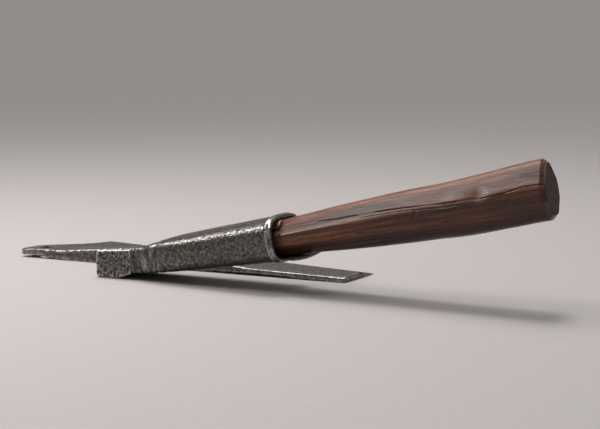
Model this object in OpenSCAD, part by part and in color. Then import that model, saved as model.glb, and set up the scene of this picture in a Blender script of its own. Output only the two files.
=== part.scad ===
// Side axe: a broad blade ground on one face only, with its handle in a long tapered socket
// that stands beside the blade's back. The axe lies on the blade's flat face.
//
// Millimetres. X runs along the blade's back from the horn to the heel, Y from the back to the
// cutting edge, and Z up from the flat face. The origin lies on the flat face, on the poll's
// centre line.

/* [Blade outline] */
// Length of the straight back edge, from the horn's tip to the heel
back_length = 325; // [300:1:345]
// Distance along the back edge from the horn's tip to the poll's centre line
horn_reach = 137; // [122:1:148]
// Distance from the back edge to the origin, across the blade
back_inset = 40; // [34:1:46]
// Width at the heel, square to the back edge
heel_width = 50; // [44:1:58]
// Angle between the back edge and the heel
heel_angle = 82.5; // [78:0.5:90]
// Angle by which the cutting edge spreads from the back edge
edge_spread = 11.4; // [9:0.2:13]
// Angle between the back edge and the horn's other side
horn_angle = 46; // [44:1:50]
// Width of the horn where the slanting toe begins
horn_width = 30; // [27:0.5:34]
// Angle between the back edge and the slanting toe
toe_angle = 65; // [63:0.5:72]
// Radius of the belly, where the toe runs into the cutting edge
belly_radius = 25; // [14:1:32]
// Radius of the hollow where the horn runs into the toe
hollow_radius = 40; // [20:1:60]
// Radius of the horn's nose
nose_radius = 5; // [4:0.5:6.5]

/* [Blade thickness] */
// Thickness at the horn's tip
tip_thickness = 5; // [4:0.2:6]
// Thickness of the horn behind its tip
horn_thickness = 7.2; // [6.4:0.2:9]
// Thickness of the back where the neck joins it
root_thickness = 17; // [15:0.5:19]
// Thickness of the back where the swelling beside the socket ends
tail_thickness = 6.8; // [6:0.2:8]
// Distance from the poll's centre line to that place
tail_reach = 104; // [95:1:120]
// Thickness of the back at the heel
heel_thickness = 5.1; // [4.4:0.1:6]
// Thickness of the plate beyond the swelling
plate_thickness = 5.6; // [5:0.1:6.4]
// Reach of the swelling from the back edge across the blade
swell_reach = 62; // [50:1:70]
// Height worn off the back's upper arris
arris_wear = 1.3; // [0.8:0.1:1.8]
// Width of that worn arris
arris_width = 6; // [4:0.5:8]
// Height worn off the back's lower arris between the neck and the heel
lower_wear = 2; // [1:0.1:2.6]
// Width of that worn lower arris
lower_width = 9; // [6:0.5:12]
// Height by which the horn's tip is bent up off the flat
horn_lift = 2.4; // [1:0.1:3]
// Length of that bend
horn_bend = 50; // [40:1:56]

/* [Cutting edge] */
// Angle of the single bevel
bevel_angle = 11.8; // [10:0.2:14]
// Thickness left at the cutting edge
edge_land = 0.5; // [0.3:0.1:1]
// Width of the steel laid in along the cutting edge, on the flat face
steel_width = 20; // [14:0.5:24]
// Angle of the scarf between steel and iron, from square
scarf_angle = 25; // [0:1:40]

/* [Hanging hole] */
// Diameter of the hole through the horn
hole_diameter = 12.5; // [8:0.5:14]
// Distance from the horn's tip to the hole's centre
hole_along = 23; // [20:0.5:26]
// Distance from the back edge to the hole's centre
hole_across = 11.5; // [10:0.5:13]

/* [Poll and neck] */
// Length of the poll block along the back edge
poll_length = 35; // [30:1:42]
// Depth of the poll block, from its struck face to its back
poll_depth = 40; // [34:1:46]
// Height of the poll block at its outer end
poll_height = 24; // [21:0.5:25]
// Height of the poll block where the socket joins it
poll_shoulder = 27; // [26:0.5:30]
// Height by which the poll's top falls from its struck face to its back
poll_fall = 7; // [4:0.5:8]
// Depth of the hollow forged under the poll's socket end
poll_undercut = 4.2; // [2:0.2:5]
// Radius of the poll's worn edges
poll_edge = 1.8; // [1:0.2:2.4]
// Distance across the neck, from the poll to the blade's back
neck_span = 20; // [16:1:26]
// Length of the neck's root along the blade's back
neck_root = 68; // [50:1:80]
// Height by which the neck's underside clears the flat
neck_lift = 1; // [0.5:0.1:1.5]

/* [Socket] */
// Length of the socket, from the poll to the mouth
socket_length = 142; // [130:1:160]
// Angle at which socket and handle rise from the flat
rise = 11.4; // [9:0.2:14]
// Angle by which socket and handle swing away from the blade
swing = 2; // [0:0.5:4]
// Width of the socket at the poll
root_width = 39; // [34:1:40]
// Height of the socket at the poll
root_height = 22; // [20:0.5:23]
// Width of the socket at its mouth
mouth_width = 58; // [54:1:64]
// Height of the socket at its mouth
mouth_height = 37.6; // [36:0.2:42]
// Thickness of the wall at the mouth
mouth_wall = 2.7; // [2.4:0.1:3]
// Thickness of the wall at the closed end
root_wall = 5; // [4:0.5:6]
// Thickness of the iron that closes the socket's narrow end
closed_end = 24; // [16:1:34]
// Height by which the bead stands out around the mouth
bead_height = 1.1; // [0.8:0.1:2]
// Width of the bead
bead_width = 4.4; // [3:0.2:6]
// Length of the plain lip between the bead and the mouth
lip = 2.2; // [1.5:0.1:4]

/* [Handle] */
// Length of the handle outside the socket
grip_length = 224; // [190:1:260]
// Clearance between the tang and the socket, deep inside
tang_fit = 0.4; // [0.3:0.1:0.8]
// Gap left beside the tang at the mouth
side_gap = 4.2; // [3:0.2:5]
// Mean gap above and below the tang at the mouth
pack_gap = 1; // [0.9:0.1:1.4]
// Height by which the wedge holds the tang off the socket's middle at the mouth
tang_rise = 0.4; // [0.2:0.1:0.5]
// Angle by which the handle's line rises more steeply than the socket's
grip_rise = 0.9; // [0:0.1:1.5]
// Empty length at the bottom of the socket, past the tang's end
end_gap = 8; // [4:1:14]
// Width of the handle at the grip
grip_width = 38; // [34:0.5:42]
// Width of the handle at its swelled butt
butt_width = 41; // [38:0.5:46]
// Height of the handle at its swelled butt
butt_height = 48; // [44:0.5:52]
// Height by which the butt sweeps up from the handle's straight line
butt_sweep = 3; // [0:0.2:6]
// Length of that sweep
sweep_length = 80; // [60:1:110]
// Width of the chamfer around the butt
butt_chamfer = 3.6; // [2:0.2:5]

/* [Packing] */
// Clearance on each face of the shim and the wedge
pack_fit = 0.25; // [0.2:0.05:0.4]
// Width of the shim on the tang's upper slanting face
shim_width = 9; // [7:0.5:11]
// Distance by which the shim lies above the middle of that face
shim_offset = 2.5; // [1:0.5:3.5]
// Thickness of the shim at the mouth
shim_thickness = 1.8; // [1.2:0.1:2.2]
// Length of the shim inside the socket
shim_depth = 42; // [30:1:60]
// Length of the shim that shows past the mouth
shim_stub = 2; // [1.5:0.5:5]
// Width of the wedge below the tang
wedge_width = 27; // [20:1:30]
// Length over which the gap beside the tang opens out toward the mouth
gap_depth = 58; // [48:1:70]
// Length of the wedge inside the socket
wedge_depth = 22; // [14:1:24]
// Length of the wedge past the mouth
wedge_stub = 22; // [14:1:32]
// Thickness of the wedge's fat end, past the mouth
wedge_thickness = 4.8; // [3.6:0.2:7]

/* [Hidden] */

IRON = "dimgray";
STEEL = "darkgray";
WOOD = "saddlebrown";
PACKING = "peru";

socket_sides = 56;
handle_sides = 48;
corner_steps = 6;
// Longer than any cut needs
beyond = 400;

back_y = -back_inset;
poll_back_y = back_y - neck_span;
poll_face_y = poll_back_y - poll_depth;
poll_half = poll_length / 2;

// The socket's root: the middle of its narrow end, on the poll block's side
socket_root = [poll_half, poll_back_y - poll_depth / 2, poll_shoulder - 0.4 - root_height / 2];
axis_dir = [cos(swing) * cos(rise), -sin(swing) * cos(rise), sin(rise)];
handle_end = socket_length + grip_length;

// Curved stretches run from 0 to 1 as t does, level at both ends
function ease(t) = (1 - cos(180 * max(0, min(1, t)))) / 2;
function mix(a, b, t) = a + (b - a) * t;
function unit(v) = v / norm(v);

// Points along the outline through corners [x, y, radius], each corner rounded by an arc,
// outward or hollow
function rounded(corners, steps = corner_steps) = [
    for (i = [0:len(corners) - 1])
        let (
            count = len(corners),
            here = [corners[i].x, corners[i].y],
            before = corners[(i + count - 1) % count],
            after = corners[(i + 1) % count],
            to_before = unit([before.x, before.y] - here),
            to_after = unit([after.x, after.y] - here),
            half = acos(to_before * to_after) / 2,
            radius = corners[i].z,
            centre = here + unit(to_before + to_after) * radius / sin(half),
            from = here + to_before * radius / tan(half) - centre,
            start = atan2(from.y, from.x),
            turn = (180 - 2 * half) * sign(cross(-to_before, to_after))
        )
        for (k = [0:steps]) centre + radius * [cos(start + turn * k / steps),
                                               sin(start + turn * k / steps)]
];

function sum(list, i = 0) = i == len(list) - 1 ? list[i] : list[i] + sum(list, i + 1);

// Skin over a row of rings that hold as many points each, closed at both ends by triangles
// around the end ring's middle
module skin(rings) {
    count = len(rings[0]);
    last = len(rings) - 1;
    first_middle = len(rings) * count;
    polyhedron(
        points = concat([for (ring = rings) each ring],
                        [for (ring = [rings[0], rings[last]]) sum(ring) / count]),
        faces = concat(
            [for (i = [0:count - 1]) [i, (i + 1) % count, first_middle]],
            [for (k = [0:last - 1], i = [0:count - 1])
                let (a = k * count + i, b = k * count + (i + 1) % count)
                each [[a, a + count, b + count], [a, b + count, b]]],
            [for (i = [0:count - 1])
                [last * count + (i + 1) % count, last * count + i, first_middle + 1]]
        ),
        convexity = 6
    );
}

// Blade, in its own frame: x from the horn's tip along the back, y from the back edge
heel_corner = [back_length + heel_width / tan(heel_angle), heel_width];
// Length that the nose's rounding takes off the sharp corner it is drawn from
nose_cut = nose_radius * (1 / tan(horn_angle / 2) - 1);
toe_start = horn_width / tan(horn_angle) - nose_cut;
// Where the toe's line and the cutting edge's line cross
belly_corner = let (
    run = (heel_corner.y - horn_width + (heel_corner.x - toe_start) * tan(edge_spread))
        / (tan(toe_angle) + tan(edge_spread))
) [toe_start + run, horn_width + run * tan(toe_angle)];
corner_radius = 0.5;
blade_outline = rounded([
    [-nose_cut, 0, nose_radius],
    [back_length, 0, corner_radius],
    [heel_corner.x, heel_corner.y, corner_radius],
    [belly_corner.x, belly_corner.y, belly_radius],
    [toe_start, horn_width, hollow_radius]
]);
horn_flat = 20;

// Thickness along the back edge: rising from the horn to the neck, then falling to the heel
function back_thickness(x) =
    let (fall = (x - horn_reach - poll_half) / (tail_reach - poll_half))
    fall < 0
        ? lookup(x, [[0, tip_thickness], [horn_flat / 2, horn_thickness - 0.4],
                     [horn_flat, horn_thickness], [horn_reach - poll_half, root_thickness]])
        : fall < 1
            ? mix(root_thickness, tail_thickness, ease(fall))
            : lookup(x, [[horn_reach + tail_reach, tail_thickness],
                         [back_length, heel_thickness]]);

// The horn's end lies straight and is bent up over the last two thirds of horn_bend
function lift(x) = horn_lift * ease(1.4 * (1 - x / horn_bend));

function upper_face(x, y) = lift(x)
    + mix(back_thickness(x), plate_thickness, ease(y / swell_reach))
    - arris_wear * pow(max(0, 1 - y / arris_width), 2);

// The lower arris is worn most under the socket, and not at all at the neck and the heel
function lower_face(x, y) =
    let (along = (x - horn_reach - neck_root * right_share) / (back_length - horn_reach - neck_root))
    lift(x) + lower_wear * pow(max(0, 1 - y / lower_width), 2)
        * sin(180 * max(0, min(1, along)));

module blade_form() {
    xs = concat([-1], [for (x = [4:6:horn_bend]) x],
                [for (i = [0:22]) mix(horn_bend, heel_corner.x + 2, i / 22)]);
    far_y = belly_corner.y + 2;
    near_ys = [0, 0.35, 1] * arris_width;
    upper_ys = concat([-1], near_ys, [0.25, 0.4, 0.55, 0.7, 0.85, 1] * swell_reach, [far_y]);
    lower_ys = concat([-1], [0, 0.5, 1] * lower_width, [far_y]);
    upper_last = len(upper_ys) - 1;
    difference() {
        intersection() {
            linear_extrude(root_thickness + horn_lift) polygon(blade_outline);
            skin([for (x = xs) concat(
                [for (y = lower_ys) [x, y, lower_face(x, max(0, y))]],
                [for (k = [upper_last:-1:0]) [x, upper_ys[k], upper_face(x, max(0, upper_ys[k]))]]
            )]);
        }
        // The bevel, whose lower plane meets the cutting edge
        translate([heel_corner.x, heel_corner.y, edge_land])
            rotate([-bevel_angle, 0, -edge_spread])
            translate([-beyond, -beyond / 2, 0])
            cube([beyond * 1.2, beyond, beyond / 4]);
    }
}

// Space that the laid steel fills, cut square or on a slant where it meets the iron
module steel_space() {
    translate([heel_corner.x, heel_corner.y, 0])
        rotate([0, 0, -edge_spread])
        translate([-beyond, -steel_width, 0])
        rotate([scarf_angle, 0, 0])
        translate([0, 0, -beyond / 8])
        cube([beyond * 1.2, beyond / 4, beyond / 4]);
}

module on_blade() {
    translate([-horn_reach, back_y, 0]) children();
}

module blade() {
    color(IRON) on_blade() difference() {
        blade_form();
        steel_space();
        translate([hole_along, hole_across, -1])
            cylinder(d = hole_diameter, h = root_thickness + horn_lift, $fn = 64);
    }
}

module edge_steel() {
    color(STEEL) on_blade() intersection() {
        blade_form();
        steel_space();
    }
}

// The poll's outline seen from its struck face, drawn in on every side by inset, at the share t
// of its depth
undercut_length = 12;
function poll_section(t, inset = 0) = rounded([
    [-poll_half + inset, inset, poll_edge],
    [poll_half - undercut_length - inset, inset, poll_edge * 2],
    [poll_half, poll_undercut + inset, poll_edge / 2],
    [poll_half, poll_shoulder - poll_fall * t - inset, poll_edge],
    [-poll_half + inset, poll_height - poll_fall * t - inset, poll_edge]
]);

// The neck at a share t of its span: as wide as the poll at one end, and spread along the
// blade's back at the other, more toward the heel than toward the horn
left_share = 0.42;
right_share = 1 - left_share;
function neck_section(t) =
    let (
        spread = t * t,
        left = mix(-poll_half, -neck_root * left_share, spread),
        right = mix(poll_half, neck_root * right_share, spread),
        root_top = root_thickness - arris_wear,
        top_left = mix(poll_height - poll_fall, root_top, ease(t)),
        top_right = mix(poll_shoulder - poll_fall, root_top, ease(t))
    ) rounded([
        [left, neck_lift, poll_edge],
        [right, mix(poll_undercut, 0, ease(t)) + neck_lift, poll_edge],
        [right, top_right, poll_edge],
        [left, top_left, poll_edge]
    ]);

// A section [x, z] stood up at the depth y
function upright(section, y) = [for (p = section) [p.x, y, p.y]];

module neck() {
    steps = 9;
    color(IRON) skin([for (k = [steps:-1:0])
        upright(neck_section(k / steps), poll_back_y + neck_span * k / steps)]);
}

// The struck face's edge is hammered round in steps [distance from the face, inset]
crown = [[8, 0], [3, 0.2], [1, 0.6], [0, 1.4]];
module poll_block() {
    color(IRON) skin(concat(
        [upright(poll_section(1), poll_back_y)],
        [for (c = crown) upright(poll_section(c[0] / poll_depth, c[1]), poll_face_y + c[0])]
    ));
}

// Point at s along the socket's axis, u across it away from the blade's side, and v above it.
// Sections stand upright on the poll and turn square to the axis within turn_length.
turn_length = 42;
function at(s, u, v, turned = 1) =
    let (tilt = rise * turned, yaw = swing * turned)
    socket_root + s * axis_dir + u * [sin(yaw), cos(yaw), 0]
        + v * [-sin(tilt) * cos(yaw), sin(tilt) * sin(yaw), cos(tilt)];

// Signed power, for superellipses
function bend(x, power) = sign(x) * pow(abs(x), power);
function superellipse(half_u, half_v, n, angle) =
    [half_u * bend(cos(angle), 2 / n), half_v * bend(sin(angle), 2 / n)];

// The socket swells fast at first and more slowly near its mouth
function swell(s) = pow(max(0, s) / socket_length, 0.55);
function socket_half_u(s) = mix(root_width, mouth_width, swell(s)) / 2;
function socket_half_v(s) = mix(root_height, mouth_height, swell(s)) / 2;
root_squareness = 6;
mouth_squareness = 3.3;
square_reach = 60;
function squareness(s) = mix(root_squareness, mouth_squareness, ease(s / square_reach));
function wall(s) = mix(root_wall, mouth_wall, s / socket_length);

// Beside the poll the socket's top falls away from the struck side as the poll's does
function fall(s, u, v) = poll_fall * (1 - ease(s / turn_length)) * max(0, v / socket_half_v(s))
    * (1 + u / socket_half_u(s)) / 2;

function socket_ring(s, out) = [
    for (i = [0:socket_sides - 1])
        let (p = superellipse(socket_half_u(s) + out, socket_half_v(s) + out, squareness(s),
                              360 * i / socket_sides))
        at(s, p.x, p.y - fall(s, p.x, p.y), min(1, s / turn_length))
];

// Half sizes of the tapered hole that the tang sits in
hole_squareness = 3.4;
function hole_half_u(s) = socket_half_u(s) - wall(s);
function hole_half_v(s) = socket_half_v(s) - wall(s);
function hole_ring(s) = [
    for (i = [0:socket_sides - 1])
        let (p = superellipse(hole_half_u(s), hole_half_v(s), hole_squareness,
                              360 * i / socket_sides))
        at(s, p.x, p.y)
];

module socket() {
    bead_end = socket_length - lip;
    bead_start = bead_end - bead_width;
    bead_steps = 8;
    body_steps = 12;
    edge_round = 0.7;
    color(IRON) skin(concat(
        // Closer together at first, where the socket swells fastest
        [for (k = [0:body_steps]) socket_ring((bead_start - 3) * pow(k / body_steps, 1.5), 0)],
        [for (k = [0:bead_steps]) socket_ring(mix(bead_start, bead_end, k / bead_steps),
                                              bead_height * sin(180 * k / bead_steps))],
        [socket_ring(socket_length - edge_round, 0), socket_ring(socket_length, -edge_round)],
        [for (k = [0:9]) hole_ring(mix(socket_length, closed_end, k / 9))]
    ));
}

// The handle's faces around its section: the angle that each faces, and its distance from the
// middle where the half width and half height are 1
faces = [[0, 1], [45, 0.88], [90, 1], [135, 0.88], [180, 1], [225, 0.97], [270, 1], [315, 0.97]];

// Distance from the middle to the faces in the direction angle. A high crispness gives flat faces
// that meet at clear arrises, and a low one an oval.
function faceted(angle, crispness) =
    pow(sum([for (f = faces) pow(max(0, cos(angle - f[0])) / f[1], crispness)]), -1 / crispness);

// The share of the grip passed at s
function along_grip(s) = max(0, (s - socket_length) / grip_length);

// Share of the way to the mouth, along the length over which the gap opens out
function to_mouth(s) = max(0, min(1, 1 - (socket_length - s) / gap_depth));
// Gap beside the tang: tight at its end, and wide at the mouth
function tang_gap(s, mouth_gap) = mix(tang_fit, mouth_gap, to_mouth(s));

function handle_half_u(s) = s <= socket_length
    ? hole_half_u(s) - tang_gap(s, side_gap)
    : let (t = along_grip(s), mouth = hole_half_u(socket_length) - side_gap)
      t < 0.5
        ? mix(mouth, grip_width / 2, ease(t / 0.5))
        : mix(grip_width, butt_width, ease((t - 0.5) / 0.5)) / 2;

function handle_half_v(s) = s <= socket_length
    ? hole_half_v(s) - tang_gap(s, pack_gap)
    : mix(hole_half_v(socket_length) - pack_gap, butt_height / 2,
          1 - pow(1 - min(1, along_grip(s)), 2));

// Crisp faces at the mouth, an oval in the grip and clear faces again at the butt
function crispness(s) = lookup(along_grip(s), [[0, 18], [0.3, 11], [0.6, 6], [0.8, 9], [1, 12]]);

// Height of the handle's middle above the socket's axis
function handle_line(s) = tang_rise * to_mouth(s)
    + max(0, s - socket_length) * tan(grip_rise)
    + butt_sweep * ease((s - handle_end + sweep_length) / sweep_length);

function handle_ring(s, inset = 0) = [
    for (i = [0:handle_sides - 1])
        let (angle = 360 * (i + 0.5) / handle_sides, r = faceted(angle, crispness(s)))
        at(s, (handle_half_u(s) - inset) * r * cos(angle),
           (handle_half_v(s) - inset) * r * sin(angle) + handle_line(s))
];

module handle() {
    tang_start = closed_end + end_gap;
    chamfer_start = handle_end - butt_chamfer;
    color(WOOD) skin(concat(
        [handle_ring(tang_start, 2), handle_ring(tang_start + 2)],
        [for (k = [1:7]) handle_ring(mix(tang_start + 2, socket_length, k / 7))],
        [for (k = [1:24]) handle_ring(mix(socket_length, chamfer_start, k / 24))],
        [handle_ring(chamfer_start + butt_chamfer * 0.55, butt_chamfer * 0.35),
         handle_ring(handle_end, butt_chamfer)]
    ));
}

// Distance of the hole's wall below the middle, at u across
function hole_floor(s, u) = hole_half_v(s)
    * pow(1 - pow(min(1, abs(u) / hole_half_u(s)), hole_squareness), 1 / hole_squareness);
// Height of the handle's underside, which is below the middle
function handle_underside(s) = handle_line(s) - handle_half_v(s) * faceted(270, crispness(s));

// A flat strip laid on the tang's slanting face toward the struck side
slant = 135;
thin_end = 0.5;
module top_shim() {
    steps = 6;
    color(PACKING) skin([for (k = [0:steps])
        let (
            s = mix(socket_length - shim_depth, socket_length + shim_stub, k / steps),
            half = [handle_half_u(s), handle_half_v(s)],
            // Along the slanting face and square to it, in the section's plane
            along = unit([half.x * cos(slant - 90), half.y * sin(slant - 90)]),
            out = [-along.y, along.x],
            foot = faces[3][1] * [half.x * cos(slant), half.y * sin(slant)]
                + [0, handle_line(s)] + out * pack_fit + along * shim_offset,
            thick = mix(thin_end, shim_thickness, k / steps)
        )
        [for (c = [[-1, 0], [1, 0], [0.8, 1], [-0.8, 1]])
            let (p = foot + along * c[0] * shim_width / 2 + out * c[1] * thick)
            at(s, p.x, p.y)]
    ]);
}

// A wedge under the tang: its top follows the handle's underside, and its round back the hole.
// Past the mouth its back steps out to the full thickness and then curves up to the point.
module lower_wedge() {
    across = 10;
    inner_steps = 6;
    outer_steps = 9;
    step_out = 1.6;
    least = 0.2;
    inner_share = 0.7;
    inside = [for (k = [0:inner_steps])
        mix(socket_length - wedge_depth, socket_length, k / inner_steps)];
    outside = [for (k = [1:outer_steps])
        socket_length + wedge_stub * (1 - pow(1 - k / outer_steps, 1.6))];
    color(PACKING) skin([for (s = concat(inside, outside))
        let (
            top = handle_underside(s) - pack_fit,
            past = max(0, s - socket_length),
            half = wedge_width / 2
                * mix(1, inner_share, max(0, min(1, (socket_length - s) / wedge_depth))),
            thick = wedge_thickness * sqrt(max(0.01, 1 - pow(past / wedge_stub, 2)))
        )
        concat(
            [for (i = [0:across])
                let (
                    u = half * (2 * i / across - 1),
                    hole = pack_fit - hole_floor(min(s, socket_length), u) - past * step_out,
                    round_edge = thick * pow(abs(u) / half, 2) / 2
                )
                at(s, u, min(top - least, max(hole, top - thick + round_edge)))],
            [for (i = [0:across]) at(s, half * (1 - 2 * i / across), top)]
        )]);
}

blade();
edge_steel();
neck();
poll_block();
socket();
handle();
top_shim();
lower_wedge();
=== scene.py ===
import math
import bpy
import bmesh
import numpy as np
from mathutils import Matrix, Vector


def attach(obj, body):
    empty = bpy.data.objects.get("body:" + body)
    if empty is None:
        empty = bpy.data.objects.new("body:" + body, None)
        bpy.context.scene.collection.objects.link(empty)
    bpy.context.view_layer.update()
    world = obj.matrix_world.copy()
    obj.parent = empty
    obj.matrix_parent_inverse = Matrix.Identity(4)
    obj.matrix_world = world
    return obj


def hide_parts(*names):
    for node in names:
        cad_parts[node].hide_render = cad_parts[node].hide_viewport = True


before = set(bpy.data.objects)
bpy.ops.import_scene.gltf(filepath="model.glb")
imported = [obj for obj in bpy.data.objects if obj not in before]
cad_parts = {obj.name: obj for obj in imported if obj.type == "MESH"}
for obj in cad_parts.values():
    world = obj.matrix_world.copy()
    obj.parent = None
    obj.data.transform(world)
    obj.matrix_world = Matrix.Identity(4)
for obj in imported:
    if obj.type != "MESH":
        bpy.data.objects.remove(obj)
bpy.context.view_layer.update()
MM = 0.001

# The socket as in the solid model, in millimetres and degrees. Over the length called turn its
# root comes square to its rising axis, and its top corner beside the blade comes up by fall.
SOCKET = dict(length=142, root=(17.5, -80, 15.6), rise=11.4, swing=2,
              root_size=(39, 22), mouth_size=(58, 37.6), root_wall=5, mouth_wall=2.7,
              closed=24, bead=1.1, bead_width=4.4, lip=2.2, turn=42, fall=7)
SWELL_POWER = 0.55
# Powers of its rounded squares: a high one has sharp corners, and the root's eases into the
# mouth's over this length
ROOT_SQUARE, MOUTH_SQUARE, RIM_SQUARE, HOLE_SQUARE = 6, 3.3, 3.35, 3.4
SQUARE_LENGTH = 60
# The rim's rows: how far each lies inside the mouth's plane and outside the hole's wall
RIM_ROWS = ((0.15, 1.4), (0, 0.9))
RIM_END_ROW = 3
BEAD_END = SOCKET["length"] - SOCKET["lip"]
BEAD_START = BEAD_END - SOCKET["bead_width"]
SOCKET_COLUMNS = 300
SOCKET_ROUND = 2 * np.pi * np.arange(SOCKET_COLUMNS) / SOCKET_COLUMNS

# The handle as in the solid model: its tang lies in the socket's hole, with these gaps
HANDLE = dict(start=32, end=366, side_gap=4.2, pack_gap=1, tang_fit=0.4, gap_depth=58,
              tang_rise=0.4, grip_rise=0.9, grip_width=38, butt=(41, 48), sweep=3,
              sweep_length=80, chamfer=3.6)
GRIP_MIDDLE = 0.5
# Rows near the butt: shares of the chamfer, and insets on the end face
CHAMFER_ROWS = (0.12, 0.25, 0.4, 0.55, 0.7, 0.85, 1)
CHAMFER_POWER = 1.25
FACE_ROWS = (0.7, 1.6, 3, 5, 7.5, 10, 12.5, 14.5, 16)
# How the grain climbs and swings along the handle, in degrees
GRAIN_RISE, GRAIN_SWING = 12, 2
HANDLE_COLUMNS = 288
HANDLE_ROUND = 2 * np.pi * (np.arange(HANDLE_COLUMNS) + 0.5) / HANDLE_COLUMNS
# Each facet's direction in degrees and its distance from the middle, against the half size
FACETS = [(0, 1), (45, 0.88), (90, 1), (135, 0.88), (180, 1), (225, 0.97), (270, 1), (315, 0.97)]
CORNERS = (22, 68, 112, 158, 202, 248, 292, 338)
# How crisp the facets are, from the mouth to the butt: hands have rounded the grip most
CRISP_PLACES = (0, 0.3, 0.6, 0.8, 1)
CRISPNESS = (30, 18, 9, 13, 18)

# The drying crack: places along the handle, and its height there against the half height
CRACK_PLACES = (168, 190, 240, 281, 322, 350, 366)
CRACK_HEIGHTS = (0.56, 0.52, 0.42, 0.33, 0.2, 0.26, 0.24)
CRACK_WIDTH = 0.32
SECOND_CRACK = dict(below=2.6, width=0.25, start=(208, 226), stop=(290, 305))
# Marks on the handle's near side: place along it, height, length and width
DENT = (313, 0.3, 6, 5)
HUMP = (299, 0.42, 10, 5)
SCARS = [(262, 0.1, 1.1, 2.2), (259, -0.08, 0.8, 1.4), (214, -0.25, 2.4, 0.5),
         (337, -0.1, 1.6, 0.7), (286, -0.35, 2.8, 0.5), (233, 0.02, 1.8, 0.4)]

# Depths of what the forging and the years left, in millimetres
SOCKET_DEPTHS = dict(fold=1.0, pit=0.16, mark=0.5)
HANDLE_DEPTHS = dict(crack=1.0, second=0.5, dent=1.4, scar=0.8, grain=0.1, uneven=0.55,
                     round_hump=0.6, end_grain=0.1)
FLAT_FACE_PIT = 0.05

# The angle in degrees past which an edge is sharp, the distance in metres within which points
# are joined, and the longest edge in millimetres that is left on the packing
SHARP_ANGLE = 48
MERGE_DISTANCE = 1e-6
LONGEST_EDGE = 2.5
TINY = 1e-9

# Whole numbers that scatter the cells of the noise
CELL_FACTORS = (374761393, 668265263, 1442695041, 974634777)
SCRAMBLE = ((13, 1274126177), (15, 2246822519))
WORD = 0xFFFFFFFF

# Light and camera: metres, degrees and watts
PHOTO_WIDTH = 600
FOCAL_PIXELS = 1417
SENSOR_WIDTH = 36
CAMERA_PLACE = (0.627, -1.1173, 0.2214)
CAMERA_TURN, CAMERA_PITCH = 24, 8
VIEW_LENGTH = 100
SUN = dict(power=1.5, width=17, left=9, behind=7)
WARM_WHITE = (1.0, 0.985, 0.965)
LAMPS = [
    dict(name="overhead", place=(-0.10, 0.22, 1.15), target=(0.10, -0.05, 0.0),
         size=(0.9, 0.45), power=7.5, colour=WARM_WHITE),
    dict(name="front_strip", place=(-0.60, -0.38, 0.80), target=(0.08, -0.06, 0.05),
         size=(0.5, 0.4), power=8.0, colour=(1.0, 0.98, 0.96)),
    dict(name="front_fill", place=(0.9, -1.3, 0.8), target=(0.1, -0.05, 0.04),
         size=(0.9, 0.6), power=0.9, colour=(1.0, 0.97, 0.94)),
]
BACKDROP = (0.283, 0.264, 0.256)
ROOM_LIGHT, ROOM_STRENGTH = (0.92, 0.95, 1.0), 0.2
FLOOR_HALF = 9.0
FLOOR_PALE = ((0.385, 0.357, 0.350), (0.405, 0.376, 0.369))
FLOOR_DARK = (0.13, 0.12, 0.118)

# Where Blender's nodes keep the sockets that are read here
OBJECT_PLACE = 3
ATTRIBUTE_NUMBER = 2
MIX_SHARE, MIX_FIRST, MIX_SECOND, MIX_RESULT = 0, 6, 7, 2
CAMERA_RAY, GLOSSY_RAY, TRANSMISSION_RAY = 0, 3, 6


# Numbers

def ease(t):
    return (1 - np.cos(np.pi * np.clip(t, 0, 1))) / 2


def mix(a, b, t):
    return a + (b - a) * t


def smooth(x, low, high):
    t = np.clip((x - low) / (high - low), 0, 1)
    return t * t * (3 - 2 * t)


def cell_value(ix, iy, iz, seed):
    """A number from 0 to 1 for one cell of space, the same on every run."""
    n = sum(part * factor for part, factor in zip((ix, iy, iz, seed), CELL_FACTORS)) & WORD
    for shift, factor in SCRAMBLE:
        n = ((n ^ (n >> shift)) * factor) & WORD
    return (n ^ (n >> 16)) / WORD


def lumps(p, size, seed=0):
    """Smooth noise from 0 to 1 whose lumps are size wide; p is an array of points."""
    q = p / size
    cell = np.floor(q).astype(np.int64)
    f = q - cell
    f = f * f * (3 - 2 * f)
    total = 0
    for dx in (0, 1):
        for dy in (0, 1):
            for dz in (0, 1):
                weight = ((f[:, 0] if dx else 1 - f[:, 0]) * (f[:, 1] if dy else 1 - f[:, 1])
                          * (f[:, 2] if dz else 1 - f[:, 2]))
                total = total + weight * cell_value(cell[:, 0] + dx, cell[:, 1] + dy,
                                                    cell[:, 2] + dz, seed)
    return total


def rough(p, size, seed=0, octaves=3):
    """Lumps of several sizes on each other, from 0 to 1."""
    total, weight, whole = 0, 1.0, 0.0
    for k in range(octaves):
        total = total + weight * lumps(p, size / 2 ** k, seed + k)
        whole += weight
        weight *= 0.55
    return total / whole


# Meshes

def make_piece(name, points, faces, replaced):
    mesh = bpy.data.meshes.new(name)
    mesh.from_pydata(points.tolist(), [], faces)
    mesh.update()
    piece = bpy.data.objects.new(name, mesh)
    bpy.context.scene.collection.objects.link(piece)
    finish_piece(piece, replaced)
    return piece


def finish_piece(piece, replaced):
    mesh = piece.data
    mesh.polygons.foreach_set("use_smooth", [True] * len(mesh.polygons))
    mesh.set_sharp_from_angle(angle=math.radians(SHARP_ANGLE))
    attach(piece, "root")
    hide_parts(replaced)


def copy_solid(node, name):
    """A copy of a solid as a new object, and its mesh with the loose triangles joined."""
    piece = bpy.data.objects.new(name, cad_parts[node].data.copy())
    bpy.context.scene.collection.objects.link(piece)
    form = bmesh.new()
    form.from_mesh(piece.data)
    bmesh.ops.remove_doubles(form, verts=form.verts, dist=MERGE_DISTANCE)
    return piece, form


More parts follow.
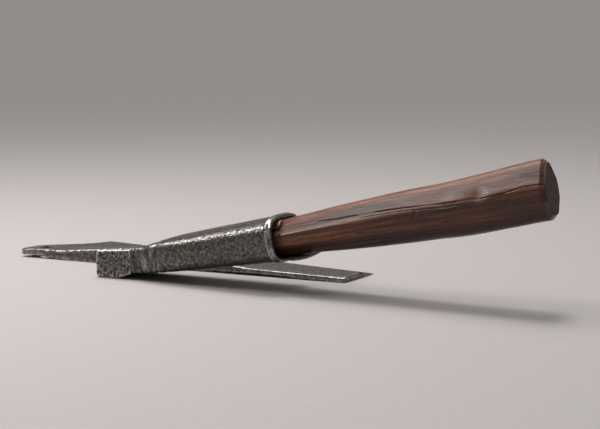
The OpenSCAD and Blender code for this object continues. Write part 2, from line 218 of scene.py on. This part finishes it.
def tube_faces(rows, columns):
    """Quads between rows of points, and fans round one last point at each end."""
    faces = []
    for k in range(rows - 1):
        a = k * columns
        for i in range(columns):
            j = (i + 1) % columns
            faces.append((a + j, a + i, a + columns + i, a + columns + j))
    first, last = rows * columns, rows * columns + 1
    end = (rows - 1) * columns
    for i in range(columns):
        j = (i + 1) % columns
        faces.append((i, j, first))
        faces.append((end + j, end + i, last))
    return [tuple(reversed(f)) for f in faces]


def close_rows(grid):
    """The rows' points in one list, followed by the middles of the two end rows."""
    return np.vstack([grid.reshape(-1, 3), grid[0].mean(0)[None], grid[-1].mean(0)[None]])


def row_normals(grid):
    """Outward directions of a grid of points that runs along the axis and round it."""
    around = np.roll(grid, -1, axis=1) - np.roll(grid, 1, axis=1)
    along = np.gradient(grid, axis=0)
    n = np.cross(around, along)
    return n / np.maximum(np.linalg.norm(n, axis=2, keepdims=True), TINY)


def read_skin(mesh):
    """The mesh's points and the directions in which they face."""
    skin = []
    for field in ("co", "normal"):
        values = np.empty(len(mesh.vertices) * 3)
        mesh.vertices.foreach_get(field, values)
        skin.append(values.reshape(-1, 3))
    return skin


def set_value(piece, name, values):
    layer = piece.data.attributes.new(name, "FLOAT", "POINT")
    layer.data.foreach_set("value", np.asarray(values, dtype=np.float32))


def edge_wear(piece, passes=3, gain=9.0):
    """How far each point stands out from its neighbours, as worn edges do, from 0 to 1."""
    mesh = piece.data
    count = len(mesh.vertices)
    points, normals = read_skin(mesh)
    pairs = np.empty(len(mesh.edges) * 2, dtype=np.int32)
    mesh.edges.foreach_get("vertices", pairs)
    a, b = pairs.reshape(-1, 2).T
    near = np.maximum(np.bincount(a, minlength=count) + np.bincount(b, minlength=count), 1)

    def average(values):
        out = np.zeros_like(values)
        for axis in range(values.shape[1]):
            out[:, axis] = (np.bincount(a, values[b, axis], count)
                            + np.bincount(b, values[a, axis], count)) / near
        return out

    middle = points
    for _ in range(passes):
        middle = average(middle)
    out = ((points - middle) * normals).sum(1) / MM
    for _ in range(2):
        out = average(out[:, None])[:, 0]
    return np.clip(out * gain, 0, 1)


# Socket

def on_axis(s, u, v, turned=1.0):
    """Points at s along the socket's axis, u across it and v above it, in millimetres."""
    rise, swing = math.radians(SOCKET["rise"]), math.radians(SOCKET["swing"])
    tilt, yaw = rise * turned, swing * turned
    x0, y0, z0 = SOCKET["root"]
    x = (x0 + s * math.cos(swing) * math.cos(rise) + u * np.sin(yaw)
         - v * np.sin(tilt) * np.cos(yaw))
    y = (y0 - s * math.sin(swing) * math.cos(rise) + u * np.cos(yaw)
         + v * np.sin(tilt) * np.sin(yaw))
    z = z0 + s * math.sin(rise) + v * np.cos(tilt)
    return np.stack(np.broadcast_arrays(x, y, z), -1)


def socket_half(s):
    swell = (np.maximum(0, s) / SOCKET["length"]) ** SWELL_POWER
    return (mix(SOCKET["root_size"][0], SOCKET["mouth_size"][0], swell) / 2,
            mix(SOCKET["root_size"][1], SOCKET["mouth_size"][1], swell) / 2)


def hole_half(s):
    wall = mix(SOCKET["root_wall"], SOCKET["mouth_wall"], s / SOCKET["length"])
    half_u, half_v = socket_half(s)
    return half_u - wall, half_v - wall


def superellipse(half_u, half_v, n, angle):
    c, s = np.cos(angle), np.sin(angle)
    return half_u * np.sign(c) * abs(c) ** (2 / n), half_v * np.sign(s) * abs(s) ** (2 / n)


def socket_outside(stations):
    """Rows of points on the socket's smooth outside, from the poll to the mouth."""
    rows = []
    for s in stations:
        along_bead = min(1, max(0, (s - BEAD_START) / SOCKET["bead_width"]))
        bead = SOCKET["bead"] * math.sin(math.pi * along_bead)
        half_u, half_v = socket_half(s)
        squareness = mix(ROOT_SQUARE, MOUTH_SQUARE, ease(s / SQUARE_LENGTH))
        u, v = superellipse(half_u + bead, half_v + bead, squareness, SOCKET_ROUND)
        unturned = 1 - ease(s / SOCKET["turn"])
        drop = SOCKET["fall"] * unturned * np.maximum(0, v / half_v) * (1 + u / half_u) / 2
        rows.append(on_axis(s, u, v - drop, min(1, s / SOCKET["turn"])))
    return np.array(rows)


def socket_inside():
    """Rows of points over the mouth's rim and down the tapered hole."""
    length = SOCKET["length"]
    rows = []
    for depth, widening in RIM_ROWS:
        s = length - depth
        half_u, half_v = hole_half(s)
        u, v = superellipse(half_u + widening, half_v + widening, RIM_SQUARE, SOCKET_ROUND)
        rows.append(on_axis(s, u, v))
    stations = np.concatenate([[length - 0.3], np.linspace(length - 1.2, 100, 26),
                               np.linspace(92, SOCKET["closed"], 6)])
    for s in stations:
        u, v = superellipse(*hole_half(s), HOLE_SQUARE, SOCKET_ROUND)
        rows.append(on_axis(s, u, v))
    return np.array(rows)


def build_socket():
    length = SOCKET["length"]
    stations = np.concatenate([np.linspace(0, BEAD_START, 150)[:-1],
                               np.linspace(BEAD_START, BEAD_END, 16),
                               [length - 1.3, length - 0.7]])
    outside = socket_outside(stations)
    p = outside.reshape(-1, 3)
    along = np.repeat(stations, SOCKET_COLUMNS)
    out = row_normals(outside).reshape(-1, 3)
    # The folds where the socket was closed and welded beside the poll
    fold_place = np.stack([along + 3 * lumps(p, 9, seed=3), p[:, 2] * 0.16, p[:, 1] * 0.1], -1)
    ridges = np.clip(1.6 * abs(rough(fold_place, 2.6, seed=11, octaves=2) - 0.5) * 2, 0, 1)
    fold_zone = smooth(along, 1, 4) * (1 - smooth(along, 20, 42))
    folds = fold_zone * (1 - ridges) ** 2
    # Pits, and shallow hammer marks that end before the poll
    pits = smooth(rough(p, 1.5, seed=21), 0.56, 0.70)
    marks = rough(p, 22, seed=31, octaves=2) * smooth(along, 0, 12)
    clear_of_poll = smooth(along, 0, 1.5)
    depth = clear_of_poll * (SOCKET_DEPTHS["fold"] * folds + SOCKET_DEPTHS["pit"] * pits
                             + SOCKET_DEPTHS["mark"] * marks)
    outside = (p - out * depth[:, None]).reshape(outside.shape)
    grid = np.vstack([outside, socket_inside()])
    piece = make_piece("socket_shell", close_rows(grid) * MM, tube_faces(*grid.shape[:2]),
                       "socket")
    # Hands and wood keep the bead bright, and the ridges between the folds a little
    skin = len(along)
    rim = RIM_END_ROW * SOCKET_COLUMNS
    wear = np.zeros(len(piece.data.vertices))
    on_bead = (smooth(along, BEAD_START + 0.2, BEAD_START + 1.6)
               * (1 - 0.25 * smooth(along, BEAD_END, length)))
    wear[:skin] = np.maximum(0.5 * on_bead * (0.4 + 0.6 * lumps(p, 6, seed=35)),
                             0.3 * fold_zone * ridges)
    # Grime in the pits and the fold creases, and painted shade over the whole inside of the hole
    # past the rim
    grime = np.zeros_like(wear)
    grime[:skin] = np.maximum(pits, folds)
    grime[skin + rim:] = 1
    set_value(piece, "worn", wear)
    set_value(piece, "grime", grime)
    return piece


# Handle

def to_mouth(s):
    """From 0 deep in the socket to 1 at its mouth, where the gaps round the tang are widest."""
    return np.clip(1 - (SOCKET["length"] - s) / HANDLE["gap_depth"], 0, 1)


def along_grip(s):
    """From 0 at the socket's mouth to 1 at the butt."""
    return (s - SOCKET["length"]) / (HANDLE["end"] - SOCKET["length"])


def handle_half(s):
    hole_u, hole_v = hole_half(min(s, SOCKET["length"]))
    if s <= SOCKET["length"]:
        side = mix(HANDLE["tang_fit"], HANDLE["side_gap"], to_mouth(s))
        pack = mix(HANDLE["tang_fit"], HANDLE["pack_gap"], to_mouth(s))
        return hole_u - side, hole_v - pack
    t = along_grip(s)
    start = hole_u - HANDLE["side_gap"]
    if t < GRIP_MIDDLE:
        half_u = mix(start, HANDLE["grip_width"] / 2, ease(t / GRIP_MIDDLE))
    else:
        past = ease((t - GRIP_MIDDLE) / (1 - GRIP_MIDDLE))
        half_u = mix(HANDLE["grip_width"], HANDLE["butt"][0], past) / 2
    half_v = mix(hole_v - HANDLE["pack_gap"], HANDLE["butt"][1] / 2, 1 - (1 - t) ** 2)
    return half_u, half_v


def handle_line(s):
    """How far the handle's middle lies above the socket's axis."""
    lift = max(0, s - SOCKET["length"]) * math.tan(math.radians(HANDLE["grip_rise"]))
    sweep = ease((s - HANDLE["end"] + HANDLE["sweep_length"]) / HANDLE["sweep_length"])
    return HANDLE["tang_rise"] * to_mouth(s) + lift + HANDLE["sweep"] * sweep


def facet_radius(s):
    """The facets' distance from the middle all round at s, against the half size."""
    crispness = np.interp(max(0, along_grip(s)), CRISP_PLACES, CRISPNESS)
    total = 0
    for face, distance in FACETS:
        facing = np.maximum(0, np.cos(HANDLE_ROUND - math.radians(face)))
        total = total + (facing / distance) ** crispness
    return total ** (-1 / crispness)


def handle_stations():
    """Places along the handle, how far each row is set in, and the first row on the end face."""
    mouth, end, chamfer = SOCKET["length"], HANDLE["end"], HANDLE["chamfer"]
    stations = [(HANDLE["start"], 2.0)]
    stations += [(s, 0.0) for s in np.linspace(34, mouth - 24, 6)]
    stations += [(s, 0.0) for s in np.linspace(mouth - 18, end - chamfer, 262)]
    stations += [(end - chamfer * (1 - t), chamfer * t ** CHAMFER_POWER) for t in CHAMFER_ROWS]
    face_start = len(stations)
    stations += [(end, chamfer + inset) for inset in FACE_ROWS]
    return stations, face_start


def build_handle():
    mouth = SOCKET["length"]
    stations, face_start = handle_stations()
    rows, levels, half_sizes = [], [], []
    for place, inset in stations:
        r = facet_radius(place)
        half_u, half_v = handle_half(place)
        u = (half_u - inset) * r * np.cos(HANDLE_ROUND)
        v = (half_v - inset) * r * np.sin(HANDLE_ROUND)
        rows.append(on_axis(place, u, v + handle_line(place)))
        levels.append(r * np.sin(HANDLE_ROUND))
        half_sizes.append(half_v)
    grid = np.array(rows)
    p = grid.reshape(-1, 3)
    out = row_normals(grid).reshape(-1, 3)
    # Each point's place along the handle, its angle, and its height as a share and in full
    s = np.repeat([place for place, _ in stations], HANDLE_COLUMNS)
    angle = np.tile(HANDLE_ROUND, len(stations))
    level = np.concatenate(levels)
    half_height = np.repeat(half_sizes, HANDLE_COLUMNS)
    row = np.arange(len(s)) // HANDLE_COLUMNS
    near_side = np.cos(angle) < 0
    outside = smooth(s, mouth - 6, mouth + 2)

    def mark(place, height, length, width):
        return near_side * np.exp(-(((s - place) / length) ** 2
                                    + ((level - height) * half_height / width) ** 2))

    # The long drying crack on the near side wanders with the grain and opens here and there
    on_line = np.stack([s, s * 0, s * 0], -1)
    wander = 0.9 * (lumps(on_line, 14, seed=5) - 0.5)
    off = (level - np.interp(s, CRACK_PLACES, CRACK_HEIGHTS)) * half_height + wander
    crack = near_side * np.exp(-(off / CRACK_WIDTH) ** 2) * smooth(s, CRACK_PLACES[0], 186)
    crack = crack * (0.35 + 0.65 * smooth(lumps(on_line, 17, seed=8), 0.25, 0.6))
    second = (near_side
              * np.exp(-((off + SECOND_CRACK["below"] + 1.2 * wander) / SECOND_CRACK["width"]) ** 2)
              * smooth(s, *SECOND_CRACK["start"]) * (1 - smooth(s, *SECOND_CRACK["stop"])))
    dent, hump = mark(*DENT), mark(*HUMP)
    scars = sum(mark(*scar) for scar in SCARS)
    # Grain along the wood, and hand-cut facets that are never quite flat
    across = np.stack([s / 28, p[:, 1], p[:, 2] - s * math.sin(math.radians(GRAIN_RISE))], -1)
    grain = rough(across, 1.1, seed=41)
    uneven = rough(np.stack([s / 2.6, p[:, 1], p[:, 2]], -1), 13, seed=51, octaves=2)
    deep = HANDLE_DEPTHS
    depth = outside * (deep["crack"] * crack + deep["second"] * second + deep["dent"] * dent
                       + deep["scar"] * scars + deep["grain"] * grain
                       + deep["uneven"] * uneven + deep["round_hump"] * (1 - hump))
    depth = np.where(row >= face_start, deep["end_grain"] * rough(p, 2.4, seed=61), depth)
    p = p - out * depth[:, None]
    grid = p.reshape(grid.shape)
    piece = make_piece("handle_wood", close_rows(grid) * MM, tube_faces(*grid.shape[:2]),
                       "handle")
    # Near black in the crack, scars and dent, partly dirt and partly painted shade; painted shade
    # on the tang in the socket and at its mouth; and wear on the corners between the facets
    skin, total = len(s), len(piece.data.vertices)
    dirt, worn, ends = np.zeros(total), np.zeros(total), np.zeros(total)
    hollows = np.clip(crack + 0.5 * second + 0.8 * scars + 0.25 * dent, 0, 1)
    dirt[:skin] = np.maximum(hollows, (1 - smooth(s, mouth - 2, mouth + 4)) * 0.8)
    from_corner = np.min([abs(((angle - math.radians(corner) + np.pi) % (2 * np.pi)) - np.pi)
                          for corner in CORNERS], axis=0)
    on_corner = outside * np.exp(-(from_corner / 0.07) ** 2) * (0.3 + 0.7 * lumps(p, 9, seed=71))
    on_chamfer = (row >= face_start - 1 - len(CHAMFER_ROWS)) & (row <= face_start)
    worn[:skin] = np.where(on_chamfer, 0.3 * lumps(p, 7, seed=73), on_corner)
    ends[:skin] = row >= face_start
    ends[-1] = 1
    for name, values in (("dirt", dirt), ("worn", worn), ("end_grain", ends)):
        set_value(piece, name, values)
    return piece


# Blade, neck, poll and packing

def forge(node, name, voxel, pit_size, pit_depth, mark_depth, relax=2):
    """A copy of a solid, remeshed finely, its edges eased and its skin pitted and hammered."""
    piece, form = copy_solid(node, name)
    form.to_mesh(piece.data)
    form.free()
    remesh = piece.modifiers.new("fine", "REMESH")
    remesh.mode = "VOXEL"
    remesh.voxel_size = voxel * MM
    ease_edges = piece.modifiers.new("eased", "SMOOTH")
    ease_edges.factor = 0.5
    ease_edges.iterations = relax
    bpy.context.view_layer.update()
    shaped = piece.evaluated_get(bpy.context.evaluated_depsgraph_get())
    fine = bpy.data.meshes.new_from_object(shaped)
    piece.modifiers.clear()
    piece.data = fine
    fine.name = name
    points, normals = read_skin(fine)
    points = points / MM
    pits = smooth(rough(points, pit_size, seed=101), 0.5, 0.68)
    marks = rough(points, 18, seed=111, octaves=2)
    # The flat face was ground, so its pits are faint and it keeps its plane
    upper = smooth(normals[:, 2], -0.9, -0.5)
    depth = upper * (pit_depth * pits + mark_depth * marks) + (1 - upper) * FLAT_FACE_PIT * pits
    points = points - normals * depth[:, None]
    fine.vertices.foreach_set("co", (points * MM).ravel())
    fine.update()
    finish_piece(piece, node)
    set_value(piece, "worn", edge_wear(piece) * (0.35 + 0.65 * lumps(points, 5, seed=121)))
    set_value(piece, "grime", pits * upper)
    return piece


def split_wood(node, name):
    """A copy of a small split piece of wood, with its long edges cut short."""
    piece, form = copy_solid(node, name)
    long_edges = [edge for edge in form.edges if edge.calc_length() > LONGEST_EDGE * MM]
    bmesh.ops.subdivide_edges(form, edges=long_edges, cuts=3, use_grid_fill=True)
    bmesh.ops.triangulate(form, faces=form.faces)
    form.to_mesh(piece.data)
    form.free()
    piece.data.update()
    finish_piece(piece, node)
    return piece


# Materials

class Value:
    """A shader socket that takes part in sums as a number does."""

    def __init__(self, shade, socket):
        self.shade, self.socket = shade, socket

    def _join(self, operation, other, turned=False):
        pair = [other, self] if turned else [self, other]
        return self.shade.node("ShaderNodeMath", {"operation": operation}, pair)[0]

    def __add__(self, other):
        return self._join("ADD", other)

    def __sub__(self, other):
        return self._join("SUBTRACT", other)

    def __mul__(self, other):
        return self._join("MULTIPLY", other)

    __radd__, __rmul__ = __add__, __mul__

    def __rsub__(self, other):
        return self._join("SUBTRACT", other, True)


class Shade:
    """The nodes of a material or of the world."""

    def __init__(self, owner):
        self.owner = owner
        owner.use_nodes = True
        self.tree = owner.node_tree
        self.tree.nodes.clear()

    def node(self, kind, settings=None, inputs=()):
        """A node of that kind: its settings first, then its inputs, by name or in order."""
        made = self.tree.nodes.new(kind)
        for key, value in (settings or {}).items():
            if key == "stops":
                self.set_stops(made.color_ramp, value)
            else:
                setattr(made, key, value)
        pairs = inputs.items() if isinstance(inputs, dict) else enumerate(inputs)
        for key, value in pairs:
            if isinstance(value, Value):
                self.tree.links.new(value.socket, made.inputs[key])
            else:
                made.inputs[key].default_value = value
        return [Value(self, out) for out in made.outputs]

    def set_stops(self, ramp, stops):
        while len(ramp.elements) < len(stops):
            ramp.elements.new(0.5)
        for element, (place, colour) in zip(ramp.elements, stops):
            element.position = place
            element.color = rgb(*colour) if isinstance(colour, tuple) else rgb(*[colour] * 3)

    def place(self, scale=(1, 1, 1), turn=(0, 0, 0)):
        """Object coordinates, turned first and scaled after, so that a grain stays straight."""
        where = self.node("ShaderNodeTexCoord")[OBJECT_PLACE]
        turned = self.node("ShaderNodeMapping", None, {"Vector": where, "Rotation": turn})[0]
        return self.node("ShaderNodeMapping", None, {"Vector": turned, "Scale": scale})[0]

    def noise(self, where, scale=1.0, detail=4.0, roughness=0.55):
        """Noise with scale lumps a metre, or as many as the place was scaled to."""
        return self.node("ShaderNodeTexNoise", None, {"Vector": where, "Scale": scale,
                                                      "Detail": detail,
                                                      "Roughness": roughness})[0]

    def ramp(self, value, *stops):
        return self.node("ShaderNodeValToRGB", {"stops": stops}, [value])[0]

    def blend(self, share, a, b):
        sockets = {MIX_SHARE: share, MIX_FIRST: a, MIX_SECOND: b}
        return self.node("ShaderNodeMix", {"data_type": "RGBA"}, sockets)[MIX_RESULT]

    def own(self, name):
        return self.node("ShaderNodeAttribute", {"attribute_name": name})[ATTRIBUTE_NUMBER]

    def bump(self, height, strength, distance):
        return self.node("ShaderNodeBump", None, {"Height": height, "Strength": strength,
                                                  "Distance": distance})[0]

    def shown(self):
        """1 for what the camera, gloss and glass look at, and 0 where light is gathered."""
        path = self.node("ShaderNodeLightPath")
        return path[CAMERA_RAY] + path[GLOSSY_RAY] + path[TRANSMISSION_RAY]

    def finish(self, **inputs):
        names = {key.replace("_", " "): value for key, value in inputs.items()}
        shader = self.node("ShaderNodeBsdfPrincipled", None, names)[0]
        self.node("ShaderNodeOutputMaterial", None, [shader])
        return self.owner


def rgb(r, g, b):
    return (r, g, b, 1)


def iron(name, dark, mid, bright, rust, glossiest, dullest):
    """Forged metal: pitted grain, bright specks, brown clouds, worn edges, dirty pits, and painted
    shade inside the socket's hole.
    """
    m = Shade(bpy.data.materials.new(name))
    where = m.place()
    grain = m.ramp(m.noise(where, scale=430, detail=5, roughness=0.62), (0.38, 0.0), (0.66, 1.0))
    specks = m.ramp(m.noise(where, scale=1300, detail=3, roughness=0.6), (0.54, 0.0), (0.68, 1.0))
    clouds = m.ramp(m.noise(where, scale=45, detail=3), (0.38, 0.0), (0.68, 1.0))
    worn, grime = m.own("worn"), m.own("grime")
    colour = m.blend(grain, rgb(*dark), rgb(*mid))
    colour = m.blend(clouds * 0.5, colour, rgb(*rust))
    colour = m.blend(specks * 0.4, colour, rgb(*bright))
    colour = m.blend(worn * 0.9, colour, rgb(*bright))
    # Darkens the pits and folds as grime, and the inside of the socket's hole as painted shade
    colour = m.blend(grime * 0.75, colour, rgb(*dark))
    roughness = (dullest - (dullest - glossiest) * grain * 0.6) - worn * 0.12 + grime * 0.2
    height = grain * 0.7 + specks * 0.3 - grime * 0.4
    return m.finish(Base_Color=colour, Metallic=0.82, Roughness=roughness,
                    Normal=m.bump(height, strength=0.34, distance=0.0002))


def wood(name, dark, mid, light, fineness=1.0, handled=True):
    """Wood whose grain runs along the handle; a handled piece also has wear, ends, and dark hollows
    that are partly dirt and partly painted shade.
    """
    m = Shade(bpy.data.materials.new(name))
    turn = (0, math.radians(GRAIN_RISE), math.radians(GRAIN_SWING))
    fine = 420 * fineness
    streaks = m.noise(m.place((14 * fineness, fine, fine), turn), detail=6, roughness=0.62)
    broad = m.noise(m.place((5, 70, 70), turn))
    pores = m.ramp(m.noise(m.place((60, 1700, 1700), turn), detail=3), (0.36, 1.0), (0.46, 0.0))
    colour = m.ramp(streaks * 0.55 + broad * 0.45, (0.36, dark), (0.50, mid), (0.66, light))
    colour = m.blend(pores * 0.7, colour, rgb(*dark))
    height = streaks * 0.6 - pores * 0.5
    roughness = 0.22 + streaks * 0.24
    if handled:
        worn, dirt, ends = m.own("worn"), m.own("dirt"), m.own("end_grain")
        colour = m.blend(worn * 0.4, colour, rgb(*light))
        rings = m.noise(m.place((300, 90, 300)))
        dark_ring, pale_ring = tuple(0.5 * c for c in dark), tuple(0.75 * c for c in mid)
        colour = m.blend(ends, colour, m.ramp(rings, (0.35, dark_ring), (0.6, pale_ring)))
        # Near black where the mask is high: dirt and painted shade in the hollows, and painted
        # shade on the tang at the socket's mouth
        colour = m.blend(dirt * 0.95, colour, rgb(0.004, 0.002, 0.0015))
        roughness = roughness + dirt * 0.3 + ends * 0.25
    return m.finish(Base_Color=colour, Roughness=roughness,
                    Normal=m.bump(height, strength=0.5, distance=0.00025))


def clothe(piece, material):
    piece.data.materials.clear()
    piece.data.materials.append(material)


# Floor, light and camera

def build_floor():
    """A floor that shows pale to the camera and in gloss, and throws less light back."""
    h = FLOOR_HALF
    mesh = bpy.data.meshes.new("floor")
    mesh.from_pydata([(-h, -h, 0), (h, -h, 0), (h, h, 0), (-h, h, 0)], [], [(0, 1, 2, 3)])
    floor = bpy.data.objects.new("floor", mesh)
    bpy.context.scene.collection.objects.link(floor)
    m = Shade(bpy.data.materials.new("floor_paint"))
    cloth = m.noise(m.place(), scale=160)
    pale = m.ramp(cloth, (0.3, FLOOR_PALE[0]), (0.7, FLOOR_PALE[1]))
    colour = m.blend(m.shown(), rgb(*FLOOR_DARK), pale)
    clothe(floor, m.finish(Base_Color=colour, Roughness=0.62 + cloth * 0.06))


def build_world():
    """The same pale tone past the floor's end, and a weak even light from all round."""
    world = bpy.data.worlds.new("studio")
    bpy.context.scene.world = world
    m = Shade(world)
    pale = m.node("ShaderNodeBackground", None, [rgb(*BACKDROP), 1.0])[0]
    soft = m.node("ShaderNodeBackground", None, [rgb(*ROOM_LIGHT), ROOM_STRENGTH])[0]
    joined = m.node("ShaderNodeMixShader", None, [m.shown(), soft, pale])[0]
    m.node("ShaderNodeOutputWorld", None, [joined])


def hang_light(light, place, direction):
    lamp = bpy.data.objects.new(light.name, light)
    bpy.context.scene.collection.objects.link(lamp)
    lamp.location = place
    lamp.rotation_euler = direction.to_track_quat("-Z", "Y").to_euler()


def build_sun():
    """A wide soft light from high above, a little from the left and from behind."""
    light = bpy.data.lights.new("sky_panel", "SUN")
    light.energy = SUN["power"]
    light.angle = math.radians(SUN["width"])
    light.color = WARM_WHITE
    left, behind = math.radians(SUN["left"]), math.radians(SUN["behind"])
    hang_light(light, (0, 0, 0), -Vector((-math.sin(left), math.sin(behind), 1)))


def build_lamp(name, place, target, size, power, colour):
    light = bpy.data.lights.new(name, "AREA")
    light.shape = "RECTANGLE"
    light.size, light.size_y = size
    light.energy = power
    light.color = colour
    hang_light(light, place, Vector(target) - Vector(place))


def build_camera():
    camera = bpy.data.cameras.new("camera")
    camera.sensor_width = SENSOR_WIDTH
    camera.lens = SENSOR_WIDTH * FOCAL_PIXELS / PHOTO_WIDTH
    camera.clip_end = VIEW_LENGTH
    holder = bpy.data.objects.new("camera", camera)
    bpy.context.scene.collection.objects.link(holder)
    holder.location = CAMERA_PLACE
    turn, pitch = math.radians(CAMERA_TURN), math.radians(CAMERA_PITCH)
    ahead = Vector((-math.sin(turn) * math.cos(pitch), math.cos(turn) * math.cos(pitch),
                    -math.sin(pitch)))
    holder.rotation_euler = ahead.to_track_quat("-Z", "Y").to_euler()
    bpy.context.scene.camera = holder


socket_piece = build_socket()
handle_piece = build_handle()
blade_piece = forge("blade", "blade_plate", voxel=0.9, pit_size=1.8, pit_depth=0.14,
                    mark_depth=0.25)
neck_piece = forge("neck", "neck_web", voxel=0.8, pit_size=1.8, pit_depth=0.25, mark_depth=0.4)
poll_piece = forge("poll_block", "poll_head", voxel=0.6, pit_size=1.7, pit_depth=0.26,
                   mark_depth=0.45, relax=3)
shim_piece = split_wood("top_shim", "shim_strip")
wedge_piece = split_wood("lower_wedge", "wedge_block")

forged_iron = iron("forged_iron", dark=(0.020, 0.018, 0.016), mid=(0.22, 0.208, 0.195),
                   bright=(0.64, 0.61, 0.58), rust=(0.09, 0.068, 0.054),
                   glossiest=0.14, dullest=0.36)
plate_iron = iron("plate_iron", dark=(0.066, 0.059, 0.054), mid=(0.16, 0.149, 0.138),
                  bright=(0.40, 0.38, 0.36), rust=(0.12, 0.085, 0.064),
                  glossiest=0.22, dullest=0.40)
edge_steel = iron("edge_steel", dark=(0.06, 0.055, 0.05), mid=(0.26, 0.245, 0.23),
                  bright=(0.62, 0.60, 0.57), rust=(0.15, 0.12, 0.10),
                  glossiest=0.28, dullest=0.45)
handle_wood = wood("handle_wood", dark=(0.013, 0.0045, 0.0027), mid=(0.088, 0.026, 0.011),
                   light=(0.29, 0.104, 0.042))
packing_wood = wood("packing_wood", dark=(0.10, 0.04, 0.015), mid=(0.30, 0.13, 0.05),
                    light=(0.50, 0.25, 0.10), fineness=1.6, handled=False)
# The wedge under the tang at the mouth is much darker than the packing above it: painted shade
shaded_wedge_wood = wood("shaded_wedge_wood", dark=(0.010, 0.006, 0.004), mid=(0.035, 0.018, 0.012),
                  light=(0.08, 0.04, 0.025), fineness=1.4, handled=False)

for piece, material in ((socket_piece, forged_iron), (neck_piece, forged_iron),
                        (poll_piece, forged_iron), (blade_piece, plate_iron),
                        (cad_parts["edge_steel"], edge_steel),
                        (handle_piece, handle_wood), (shim_piece, packing_wood),
                        (wedge_piece, shaded_wedge_wood)):
    clothe(piece, material)

build_floor()
build_world()
build_sun()
for lamp in LAMPS:
    build_lamp(**lamp)
build_camera()
bpy.context.scene.view_settings.view_transform = "Standard"
